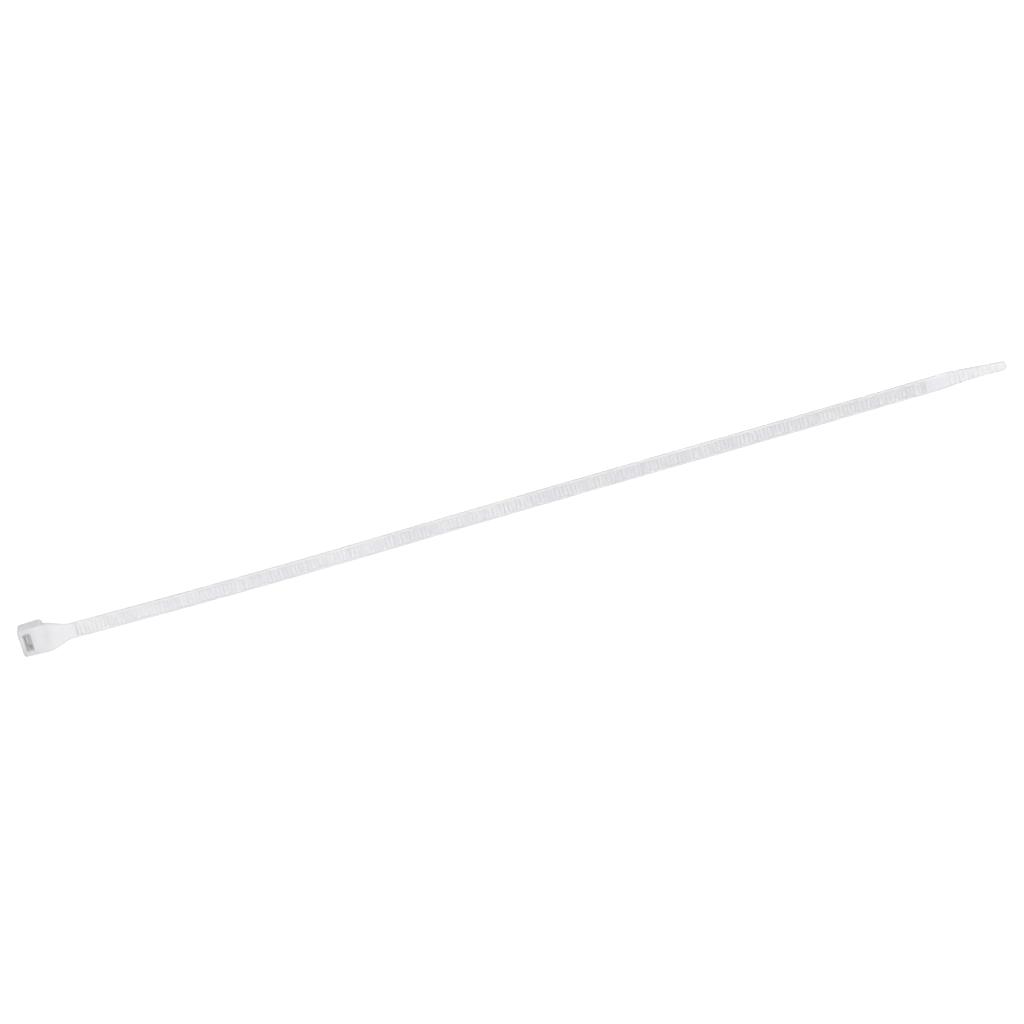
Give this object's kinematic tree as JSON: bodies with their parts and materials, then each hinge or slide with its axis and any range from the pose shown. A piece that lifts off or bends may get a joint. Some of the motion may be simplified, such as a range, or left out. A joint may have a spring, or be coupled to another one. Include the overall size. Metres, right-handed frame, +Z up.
{
  "type": "cable tie",
  "caption": "Flat nylon strap with ratchet teeth on its inner face, a square locking head with a slot and pawl at one end, and a narrow grooved tail that turns up.",
  "frame": {"origin": "on the exit face of the head, which the head stands on, under the middle of the slot", "axes": "+X along the strap from the head to the tail, +Z up, out of the toothed face of the strap"},
  "size_m": [0.2994, 0.0088, 0.0061],
  "materials": {
    "nylon": "satin"
  },
  "bodies": {
    "root": {"cable_tie": "nylon"}
  },
  "joints": []
}
